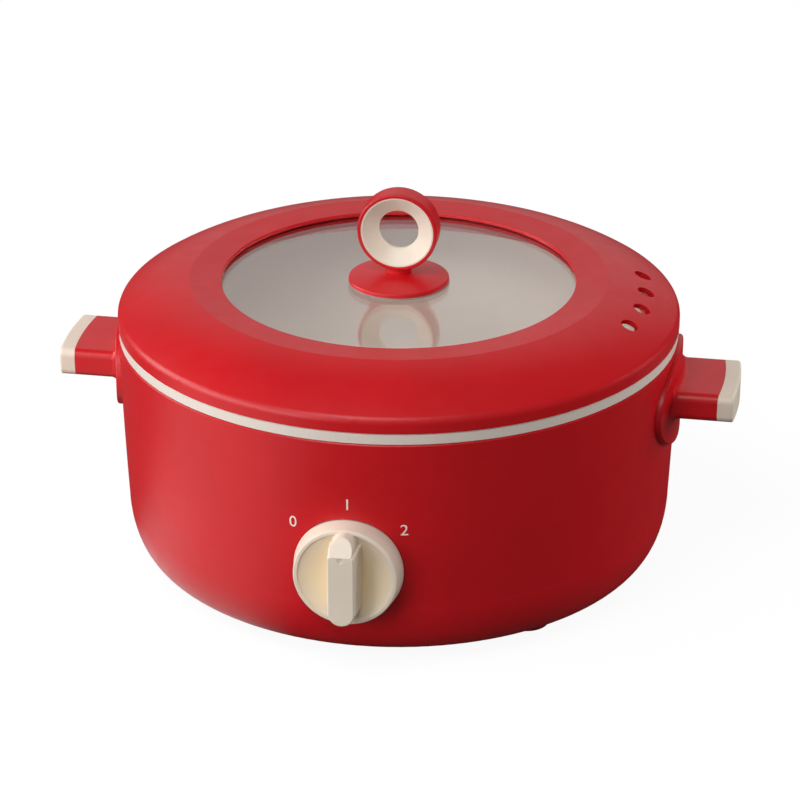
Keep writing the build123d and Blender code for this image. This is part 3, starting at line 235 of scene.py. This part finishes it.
def vector_math(tree, operation, *values):
    """A vector math node of plain vectors and sockets."""
    node = tree.nodes.new("ShaderNodeVectorMath")
    node.operation = operation
    feed(tree, node, values)
    return node.outputs["Value" if operation in ("LENGTH", "DOT_PRODUCT") else "Vector"]


def from_centre(tree, point, centre, across):
    """A point's offset from a centre, and its distance from it over the axes that `across` marks with 1."""
    offset = vector_math(tree, "SUBTRACT", point, centre)
    flat = vector_math(tree, "MULTIPLY", offset, across)
    return offset, vector_math(tree, "LENGTH", flat)


def map_range(tree, source, bottom, top, low, high, curve="LINEAR"):
    """Map the values between `bottom` and `top` to those between `low` and `high`."""
    node = tree.nodes.new("ShaderNodeMapRange")
    node.interpolation_type = curve
    for name, value in (("From Min", bottom), ("From Max", top), ("To Min", low), ("To Max", high)):
        node.inputs[name].default_value = value
    tree.links.new(source, node.inputs["Value"])
    return node.outputs["Result"]


def wedge(tree, coordinates, extent, strength):
    """Full strength round a direction from the origin, fading out to none at the end of its extent."""
    azimuth, elevation, outer, inner = extent
    source = tree.nodes.new("ShaderNodeTexCoord").outputs[coordinates]
    outward = vector_math(tree, "NORMALIZE", source)
    facing = vector_math(tree, "DOT_PRODUCT", outward, place(azimuth, elevation, 1))
    return map_range(tree, facing, cos(radians(outer)), cos(radians(inner)), 0, strength, "SMOOTHSTEP")


# ---------------------------------------------------------------- finishes
class Finish:
    """A procedural material with one Principled shader, fed from Object coordinates."""

    def __init__(self, name):
        self.material = bpy.data.materials.new(name)
        self.material.use_nodes = True
        self.tree = self.material.node_tree
        self.shader = self.tree.nodes["Principled BSDF"]
        self.place = self.tree.nodes.new("ShaderNodeTexCoord").outputs["Object"]

    def set(self, **sockets):
        """Set plain values on the shader, named as its sockets with _ for spaces."""
        for name, value in sockets.items():
            socket = self.shader.inputs[name.replace("_", " ")]
            socket.default_value = (*value, 1) if socket.type == "RGBA" else value
        return self

    def link(self, source, target):
        self.tree.links.new(source, target)

    def noise(self, grain, detail=2.0, fineness=0.5):
        """Noise whose lumps are about `grain` metres wide; `fineness` is the share of its finer lumps."""
        node = self.tree.nodes.new("ShaderNodeTexNoise")
        node.inputs["Scale"].default_value = 1 / grain
        node.inputs["Detail"].default_value = detail
        node.inputs["Roughness"].default_value = fineness
        self.link(self.place, node.inputs["Vector"])
        return node.outputs["Fac"]

    def ramp(self, source, low, high, bottom=NOISE_LOW, top=NOISE_HIGH):
        """Map a pattern between two values."""
        return map_range(self.tree, source, bottom, top, low, high)

    def mix(self, share, first, second):
        """Mix two colours, each plain or a socket, by a share between 0 and 1."""
        node = self.tree.nodes.new("ShaderNodeMix")
        node.data_type = "RGBA"
        self.link(share, node.inputs["Factor"])
        for socket, colour in ((node.inputs["A"], first), (node.inputs["B"], second)):
            if isinstance(colour, tuple):
                socket.default_value = (*colour, 1)
            else:
                self.link(colour, socket)
        return node.outputs["Result"]

    def colour(self, source):
        self.link(source, self.shader.inputs["Base Color"])

    def drift(self, colour, darker, lighter, **noise):
        """Colour the surface in patches between two shades of one colour."""
        patches = self.ramp(self.noise(**noise), 0, 1)
        self.colour(self.mix(patches, shade(colour, darker), shade(colour, lighter)))

    def roughness(self, low, high, **noise):
        """Roughness that changes in patches between two values."""
        self.link(self.ramp(self.noise(**noise), low, high), self.shader.inputs["Roughness"])

    def bump(self, strength, depth, **noise):
        """Raise the surface by noise, at most `depth` metres."""
        node = self.tree.nodes.new("ShaderNodeBump")
        node.inputs["Strength"].default_value = strength
        node.inputs["Distance"].default_value = depth
        self.link(self.noise(**noise), node.inputs["Height"])
        self.link(node.outputs["Normal"], self.shader.inputs["Normal"])


def moulded_plastic(name, colour, roughness, grain, depth=0.02 * MM):
    """Satin moulded plastic: fine spark-eroded grain and slow, faint changes of tone and gloss."""
    finish = Finish(name)
    finish.drift(colour, 1 - PLASTIC_TONE_DRIFT, 1 + PLASTIC_TONE_DRIFT, grain=45 * MM, detail=2)
    low, high = roughness - PLASTIC_ROUGHNESS_DRIFT, roughness + PLASTIC_ROUGHNESS_DRIFT
    finish.roughness(low, high, grain=9 * MM, detail=4)
    finish.bump(strength=0.22, depth=depth, grain=grain, detail=3, fineness=0.6)
    return finish


def body_finish(colour):
    """Red plastic with a thin, softly glossy skin."""
    finish = moulded_plastic("satin_red_body", colour, roughness=0.40, grain=0.55 * MM)
    return finish.set(IOR=1.48, Coat_Weight=0.10, Coat_Roughness=0.30)


def trim_finish(name, colour):
    """Cream plastic that lets a little light in under its surface."""
    finish = moulded_plastic(name, colour, roughness=0.42, grain=0.5 * MM)
    return finish.set(
        IOR=1.46, Subsurface_Weight=0.12, Subsurface_Scale=3.0 * MM, Subsurface_Radius=(1.0, 0.62, 0.36)
    )


def dial_finish(colour, dish_painted_bounce):
    """The trim plastic, with a warmer tone painted down in the dish as the light bounced in its shade."""
    finish = trim_finish("cream_dial", colour)
    tree = finish.tree
    rim_centre = (0, DIAL_FRONT + DIAL_RIM_DROP, DIAL_HEIGHT)
    offset, radius = from_centre(tree, finish.place, rim_centre, (1, 0, 1))
    parts = tree.nodes.new("ShaderNodeSeparateXYZ")
    finish.link(offset, parts.inputs["Vector"])
    # Painted light: the warm bounce tone grows with depth into the dish and stops at the edge of the dial's
    # face.
    depth = finish.ramp(parts.outputs["Y"], 0, 1, PAINTED_BOUNCE_START, PAINTED_BOUNCE_FULL)
    inner_edge, outer_edge = DIAL_FACE_RADIUS - DISH_EDGE_FADE, DIAL_FACE_RADIUS + DISH_EDGE_FADE
    inside = finish.ramp(radius, 1, 0, inner_edge, outer_edge)
    pale = finish.shader.inputs["Base Color"].links[0].from_socket
    finish.colour(finish.mix(node_math(tree, "MULTIPLY", depth, inside), pale, dish_painted_bounce))
    return finish


def coating_finish(colour):
    """Light stone-like non-stick coat: fine darker specks over a faintly rippled spray coat."""
    finish = Finish("pot_coating")
    specks = finish.ramp(finish.noise(grain=0.8 * MM, detail=1), 1, 0, bottom=0.30, top=0.36)
    finish.colour(finish.mix(specks, colour, shade(colour, 0.90)))
    finish.roughness(low=0.33, high=0.42, grain=6 * MM, detail=3)
    finish.bump(strength=0.18, depth=0.03 * MM, grain=1.6 * MM, detail=2)
    return finish.set(IOR=1.5)


def glass_finish(colour):
    """Clear tempered glass that lets the lamps through to the pot."""
    finish = Finish("clear_glass")
    finish.roughness(low=0.0, high=0.03, grain=18 * MM, detail=3)
    finish.set(Base_Color=colour, IOR=1.52, Transmission_Weight=1.0)
    nodes = finish.tree.nodes
    rays = nodes.new("ShaderNodeLightPath")
    open_way = nodes.new("ShaderNodeBsdfTransparent")
    open_way.inputs["Color"].default_value = (*shade(colour, PANE_LIGHT), 1)
    chooser = nodes.new("ShaderNodeMixShader")
    feed(finish.tree, chooser, (
        rays.outputs["Is Shadow Ray"], finish.shader.outputs["BSDF"], open_way.outputs["BSDF"]
    ))
    finish.link(chooser.outputs["Shader"], nodes["Material Output"].inputs["Surface"])
    return finish


def metal_finish(name, colour, roughness, grain):
    """Plated or drawn metal with fine wear."""
    finish = Finish(name)
    finish.drift(colour, darker=0.90, lighter=1.05, grain=4 * MM, detail=4, fineness=0.6)
    low, high = roughness - METAL_ROUGHNESS_DRIFT, roughness + METAL_ROUGHNESS_DRIFT
    finish.roughness(low, high, grain=grain, detail=4, fineness=0.65)
    finish.bump(strength=0.12, depth=0.01 * MM, grain=grain, detail=3)
    return finish.set(Metallic=1.0)


def rubber_finish(name, colour):
    """Matt rubber with a fine, slightly dusty grain."""
    finish = Finish(name)
    finish.drift(colour, darker=0.94, lighter=1.05, grain=3 * MM, detail=3)
    finish.roughness(low=0.57, high=0.68, grain=1.2 * MM, detail=3)
    finish.bump(strength=0.3, depth=0.02 * MM, grain=0.35 * MM, detail=3)
    return finish.set(Specular_IOR_Level=0.35)


# ---------------------------------------------------------------- CAD nodes
def dress(finish, *names):
    """Give CAD nodes a finish and smooth shading over their merged facets."""
    for name in names:
        piece = frame["nodes"][name]
        piece.data.materials.clear()
        piece.data.materials.append(finish.material)
        piece.data.polygons.foreach_set("use_smooth", [True] * len(piece.data.polygons))
        weld = piece.modifiers.new("merge_facets", "WELD")
        weld.merge_threshold = MERGE_DISTANCE
        split = piece.modifiers.new("crisp_edges", "EDGE_SPLIT")
        split.split_angle = radians(CRISP_ANGLE)
        weighted = piece.modifiers.new("even_shading", "WEIGHTED_NORMAL")
        weighted.keep_sharp = True
        weighted.weight = EVEN_SHADING_WEIGHT


def keep_ring_crisp(piece, radius):
    """Split the edges of one ring round the pot's axis, where a shallow crease would be shaded away."""
    tree = bpy.data.node_groups.new("crisp_ring", "GeometryNodeTree")
    for end in ("INPUT", "OUTPUT"):
        tree.interface.new_socket("Geometry", in_out=end, socket_type="NodeSocketGeometry")
    nodes, links = tree.nodes, tree.links
    position = nodes.new("GeometryNodeInputPosition").outputs["Position"]
    from_axis = from_centre(tree, position, (0, AXIS_Y, 0), (1, 1, 0))[1]
    on_ring = node_math(tree, "COMPARE", from_axis, radius, CREASE_TOLERANCE)
    split = nodes.new("GeometryNodeSplitEdges")
    links.new(nodes.new("NodeGroupInput").outputs["Geometry"], split.inputs["Mesh"])
    links.new(on_ring, split.inputs["Selection"])
    links.new(split.outputs["Mesh"], nodes.new("NodeGroupOutput").inputs["Geometry"])
    modifier = piece.modifiers.new("crisp_ring", "NODES")
    modifier.node_group = tree
    after_weld = piece.modifiers.find("merge_facets") + 1
    piece.modifiers.move(piece.modifiers.find(modifier.name), after_weld)


# ---------------------------------------------------------------- printed scale
def printed_numeral(text, height, across, level):
    """A flat mesh of a number in front of the shell, with its middle at (across, level)."""
    bpy.ops.object.select_all(action="DESELECT")
    bpy.ops.object.text_add()
    numeral = bpy.context.object
    numeral.name = "scale_number_" + text
    numeral.data.body = text
    numeral.data.align_x = "CENTER"
    numeral.data.align_y = "CENTER"
    bpy.ops.object.convert(target="MESH")
    points = [vertex.co.copy() for vertex in numeral.data.vertices]
    low = Vector(min(p[i] for p in points) for i in range(3))
    high = Vector(max(p[i] for p in points) for i in range(3))
    middle = (low + high) / 2
    scale = height / (high.y - low.y)
    for vertex in numeral.data.vertices:
        flat = (vertex.co - middle) * scale
        vertex.co = (across + flat.x, cad_low.y, level + flat.y)
    return numeral


def wrap_on_shell(piece, thickness):
    """Lay a flat print on the shell's curved front and give it the thickness of its ink."""
    wrap = piece.modifiers.new("lay_on_shell", "SHRINKWRAP")
    wrap.target = frame["nodes"]["outer_shell"]
    wrap.wrap_method = "PROJECT"
    wrap.use_project_y = True
    wrap.offset = thickness
    body = piece.modifiers.new("ink_body", "SOLIDIFY")
    body.thickness = thickness / 2
    body.offset = -1
    bpy.ops.object.select_all(action="DESELECT")
    piece.select_set(True)
    bpy.context.view_layer.objects.active = piece
    for modifier in (wrap, body):
        bpy.ops.object.modifier_apply(modifier=modifier.name)


# ---------------------------------------------------------------- studio
def direction(azimuth, elevation):
    """Unit vector away from the aim point; the azimuth is 0 in front and grows to the right."""
    return Vector((sin(azimuth) * cos(elevation), -cos(azimuth) * cos(elevation), sin(elevation)))


def place(azimuth, elevation, distance):
    """Offset from the aim point, with its angles in degrees."""
    return direction(radians(azimuth), radians(elevation)) * distance


def add_floor(bounce):
    """A wide floor, white to the camera with the pot's shadow on it; gloss sees it lit on the left."""
    bpy.ops.object.select_all(action="DESELECT")
    bpy.ops.mesh.primitive_plane_add(size=FLOOR_SIDE)
    floor = bpy.context.object
    floor.name = "floor"
    material = bpy.data.materials.new("white_floor")
    material.use_nodes = True
    tree = material.node_tree
    surface = tree.nodes["Principled BSDF"]
    surface.inputs["Base Color"].default_value = (FLOOR_TONE, FLOOR_TONE, FLOOR_TONE, 1)
    surface.inputs["Roughness"].default_value = FLOOR_ROUGHNESS
    surface.inputs["Specular IOR Level"].default_value = 0
    rays = tree.nodes.new("ShaderNodeLightPath").outputs
    lit = wedge(tree, "Object", LIT_FLOOR, bounce)
    in_gloss = node_math(tree, "MULTIPLY", lit, rays["Is Glossy Ray"])
    seen = node_math(tree, "MAXIMUM", rays["Is Camera Ray"], rays["Is Transmission Ray"])
    glow = node_math(tree, "MAXIMUM", node_math(tree, "MULTIPLY", seen, FLOOR_GLOW), in_gloss)
    surface.inputs["Emission Color"].default_value = (1, 1, 1, 1)
    tree.links.new(glow, surface.inputs["Emission Strength"])
    floor.data.materials.append(material)
    return floor


def light_room(scene, ambient, back_wall):
    """Even room light. The camera sees the room as white, and gloss sees only a pale back wall in it."""
    world = bpy.data.worlds.new("room")
    scene.world = world
    world.use_nodes = True
    tree = world.node_tree
    background = tree.nodes["Background"]
    background.inputs["Color"].default_value = (1, 1, 1, 1)
    rays = tree.nodes.new("ShaderNodeLightPath").outputs
    wall = wedge(tree, "Generated", BACK_WALL, back_wall)
    in_gloss = node_math(tree, "MULTIPLY", wall, rays["Is Glossy Ray"])
    not_glossy = node_math(tree, "SUBTRACT", 1.0, rays["Is Glossy Ray"])
    matt = node_math(tree, "MAXIMUM", not_glossy, rays["Is Transmission Ray"])
    unseen = node_math(tree, "ADD", node_math(tree, "MULTIPLY", matt, ambient), in_gloss)
    strength = node_math(tree, "MAXIMUM", unseen, rays["Is Camera Ray"])
    tree.links.new(strength, background.inputs["Strength"])


def soft_lamp(name, aim, offset, size, power):
    """A rectangular soft lamp at `offset` from the aim point, turned to it."""
    lamp = bpy.data.lights.new(name, "AREA")
    lamp.shape = "RECTANGLE"
    lamp.size, lamp.size_y = size
    lamp.energy = power
    stand = bpy.data.objects.new(name, lamp)
    bpy.context.scene.collection.objects.link(stand)
    stand.location = aim + offset
    stand.rotation_euler = (-offset).to_track_quat("-Z", "Y").to_euler()
    return stand


def add_camera(scene, studio, aim):
    """The camera, on a sphere round the aim point."""
    lens = bpy.data.cameras.new("camera")
    lens.lens = studio.lens
    lens.sensor_width = SENSOR_WIDTH
    lens.shift_x = studio.shift
    lens.clip_start, lens.clip_end = NEAREST, FARTHEST
    camera = bpy.data.objects.new("camera", lens)
    scene.collection.objects.link(camera)
    back = direction(studio.azimuth, studio.elevation)
    camera.location = aim + back * studio.distance
    camera.rotation_euler = (-back).to_track_quat("-Z", "Y").to_euler()
    scene.camera = camera
    scene.view_settings.view_transform = "Standard"


# ---------------------------------------------------------------- operators
class HOTPOT_OT_body(bpy.types.Operator):
    """Finish the red mouldings: shell, handles, lid frame and knob"""

    bl_idname = "hotpot.body"
    bl_label = "Finish Red Mouldings"

    def execute(self, context):
        finish = body_finish(tuple(context.scene.hotpot_colours.body))
        dress(finish, "outer_shell", "handle_right", "handle_left", "lid_frame", "lid_knob")
        keep_ring_crisp(frame["nodes"]["lid_frame"], CREASE_RADIUS)
        return {"FINISHED"}


class HOTPOT_OT_trim(bpy.types.Operator):
    """Finish the cream mouldings: dial, grip caps and knob funnel"""

    bl_idname = "hotpot.trim"
    bl_label = "Finish Cream Mouldings"

    def execute(self, context):
        colours = context.scene.hotpot_colours
        plain = trim_finish("cream_trim", tuple(colours.trim))
        dress(plain, "handle_cap_right", "handle_cap_left", "funnel_front", "funnel_rear")
        # The dial carries a painted warm bounce light down in its dish.
        dress(dial_finish(tuple(colours.trim), tuple(colours.dish)), "control_dial")
        return {"FINISHED"}


class HOTPOT_OT_inner_pot(bpy.types.Operator):
    """Finish the coated inner pot"""

    bl_idname = "hotpot.inner_pot"
    bl_label = "Finish Inner Pot"

    def execute(self, context):
        dress(coating_finish(tuple(context.scene.hotpot_colours.coating)), "inner_pot")
        return {"FINISHED"}


class HOTPOT_OT_lid_glass(bpy.types.Operator):
    """Finish the lid's pane, its gaskets and the ring that holds it"""

    bl_idname = "hotpot.lid_glass"
    bl_label = "Finish Lid Glass"

    def execute(self, context):
        colours = context.scene.hotpot_colours
        dress(glass_finish(tuple(colours.glass)), "lid_glass")
        silicone = rubber_finish("silicone_gasket", tuple(colours.rubber))
        dress(silicone, "glass_gasket", "knob_gasket", "under_gasket")
        dark_red = shade(tuple(colours.body), 0.55)
        ring = moulded_plastic("retainer_plastic", dark_red, roughness=0.55, grain=0.6 * MM)
        dress(ring, "glass_retainer")
        return {"FINISHED"}


class HOTPOT_OT_underside(bpy.types.Operator):
    """Finish the base cover, the rubber feet and the power inlet"""

    bl_idname = "hotpot.underside"
    bl_label = "Finish Underside"

    def execute(self, context):
        dark_red = shade(tuple(context.scene.hotpot_colours.body), 0.5)
        cover = moulded_plastic("base_plastic", dark_red, roughness=0.58, grain=0.7 * MM, depth=0.05 * MM)
        dress(cover, "base_cover")
        dress(rubber_finish("foot_rubber", srgb(38, 37, 38)), "foot_pads")
        inlet = moulded_plastic("inlet_plastic", srgb(34, 34, 36), roughness=0.5, grain=0.5 * MM)
        dress(inlet, "inlet_housing")
        return {"FINISHED"}


class HOTPOT_OT_metalwork(bpy.types.Operator):
    """Finish screws, heater, heat shield and contacts"""

    bl_idname = "hotpot.metalwork"
    bl_label = "Finish Metalwork"

    def execute(self, context):
        dress(
            metal_finish("zinc_plated_steel", srgb(196, 198, 202), roughness=0.32, grain=0.6 * MM),
            "base_screws", "handle_screws", "switch_screws", "inlet_screws", "retainer_screws",
            "sensor_screws", "knob_screw", "knob_washer", "heat_shield", "thermostat_strap",
            "fuse_clip", "switch_shaft",
        )
        sheath = metal_finish("annealed_sheath", srgb(120, 116, 110), roughness=0.48, grain=1.2 * MM)
        dress(sheath, "heating_element")
        casting = metal_finish("cast_aluminium", srgb(176, 178, 180), roughness=0.5, grain=2.0 * MM)
        dress(casting, "heating_plate")
        nickel = metal_finish("nickel_contacts", srgb(208, 202, 188), roughness=0.24, grain=0.4 * MM)
        dress(nickel, "inlet_pins")
        return {"FINISHED"}


class HOTPOT_OT_inner_units(bpy.types.Operator):
    """Finish the thermostat, fuse and rotary switch"""

    bl_idname = "hotpot.inner_units"
    bl_label = "Finish Inner Units"

    def execute(self, context):
        ceramic = moulded_plastic("sensor_ceramic", srgb(224, 218, 204), roughness=0.6, grain=0.3 * MM)
        dress(ceramic, "thermostat", "thermal_fuse")
        switch = moulded_plastic("switch_plastic", srgb(44, 44, 47), roughness=0.5, grain=0.4 * MM)
        dress(switch, "rotary_switch")
        return {"FINISHED"}


class HOTPOT_OT_scale(bpy.types.Operator):
    """Print the numbers of the dial's settings on the shell"""

    bl_idname = "hotpot.scale"
    bl_label = "Print Dial Scale"

    def execute(self, context):
        sizes = context.scene.hotpot_sizes
        cream = tuple(context.scene.hotpot_colours.print_ink)
        ink = moulded_plastic("cream_ink", cream, roughness=0.5, grain=0.3 * MM)
        for number, turn in enumerate((-sizes.numeral_step, 0, sizes.numeral_step)):
            across = sizes.numeral_circle * sin(turn)
            level = DIAL_HEIGHT + sizes.numeral_circle * cos(turn)
            numeral = printed_numeral(str(number), sizes.numeral_height, across, level)
            wrap_on_shell(numeral, sizes.ink_thickness)
            numeral.data.materials.append(ink.material)
            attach(numeral, "base")
        return {"FINISHED"}


class HOTPOT_OT_stage(bpy.types.Operator):
    """Set up the floor, the room light, the lamps and the camera"""

    bl_idname = "hotpot.stage"
    bl_label = "Build Studio"

    def execute(self, context):
        studio = context.scene.hotpot_studio
        floor = add_floor(studio.bounce)
        light_room(context.scene, studio.ambient, studio.back_wall)
        aim = Vector((0, AXIS_Y, studio.aim_height))
        for number, (azimuth, elevation, share) in enumerate(BANK):
            offset = place(azimuth, elevation, BANK_DISTANCE)
            soft_lamp(f"bank_{number}", aim, offset, BANK_LAMP_SIZE, studio.bank_power * share)
        soft_lamp("front_lamp", aim, place(*FRONT_LAMP_PLACE), FRONT_LAMP_SIZE, studio.front_power)
        rim_lamp = soft_lamp("rim_lamp", aim, place(*RIM_LAMP_PLACE), RIM_LAMP_SIZE, studio.rim_power)
        rim_lamp.visible_glossy = False    # it would draw a streak on the lid's shoulder
        add_camera(context.scene, studio, aim)
        return {"FINISHED"}


class HOTPOT_PT_sidebar(bpy.types.Panel):
    """Hot pot finishes and studio"""

    bl_idname = "HOTPOT_PT_sidebar"
    bl_label = "Hot Pot"
    bl_space_type = "VIEW_3D"
    bl_region_type = "UI"
    bl_category = "Hot Pot"

    def draw(self, context):
        for group_name in GROUPS:
            group = getattr(context.scene, group_name)
            for name in group.bl_rna.properties.keys():
                if name not in ("rna_type", "name"):
                    self.layout.prop(group, name)
        for step in STEPS:
            self.layout.operator(step.bl_idname)


STEPS = (
    HOTPOT_OT_body,
    HOTPOT_OT_trim,
    HOTPOT_OT_inner_pot,
    HOTPOT_OT_lid_glass,
    HOTPOT_OT_underside,
    HOTPOT_OT_metalwork,
    HOTPOT_OT_inner_units,
    HOTPOT_OT_scale,
    HOTPOT_OT_stage,
)
GROUPS = {
    "hotpot_colours": HotPotColours,
    "hotpot_sizes": HotPotSizes,
    "hotpot_studio": HotPotStudio,
}


def register():
    for group in GROUPS.values():
        bpy.utils.register_class(group)
    for step in STEPS:
        bpy.utils.register_class(step)
    bpy.utils.register_class(HOTPOT_PT_sidebar)
    for name, group in GROUPS.items():
        setattr(bpy.types.Scene, name, bpy.props.PointerProperty(type=group))


def unregister():
    for name in GROUPS:
        delattr(bpy.types.Scene, name)
    bpy.utils.unregister_class(HOTPOT_PT_sidebar)
    for step in reversed(STEPS):
        bpy.utils.unregister_class(step)
    for group in GROUPS.values():
        bpy.utils.unregister_class(group)


def main():
    register()
    bpy.ops.hotpot.body()
    bpy.ops.hotpot.trim()
    bpy.ops.hotpot.inner_pot()
    bpy.ops.hotpot.lid_glass()
    bpy.ops.hotpot.underside()
    bpy.ops.hotpot.metalwork()
    bpy.ops.hotpot.inner_units()
    bpy.ops.hotpot.scale()
    bpy.ops.hotpot.stage()


if __name__ == "__main__":
    main()
